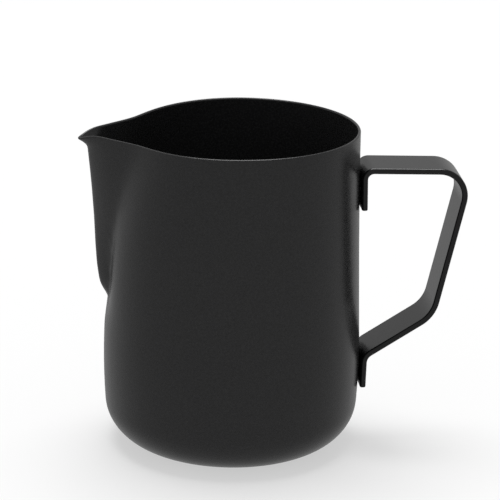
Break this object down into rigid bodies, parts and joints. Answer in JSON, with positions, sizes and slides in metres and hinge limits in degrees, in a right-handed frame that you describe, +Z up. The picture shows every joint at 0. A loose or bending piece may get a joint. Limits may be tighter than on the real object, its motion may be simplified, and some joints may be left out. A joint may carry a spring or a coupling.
{
  "type": "milk frothing pitcher",
  "caption": "Open steaming jug with a round body, rounded base edge, pressed pouring spout and a bent flat strap handle opposite the spout, matt black.",
  "frame": {"origin": "centre of the jug's flat base, on the face it stands on", "axes": "+Z up out of the mouth, +X towards the handle, -X towards the spout, the XZ plane is the plane of symmetry"},
  "size_m": [0.1353, 0.0906, 0.1141],
  "materials": {
    "black_coating": "matt black baked coating with a fine speckle, over drawn stainless steel",
    "weld_steel": "bare fused steel, hidden between the tab and the wall"
  },
  "bodies": {
    "root": {"jug_body": "black_coating", "handle_strap": "black_coating", "upper_spot_welds": "weld_steel", "lower_spot_welds": "weld_steel"}
  },
  "joints": []
}
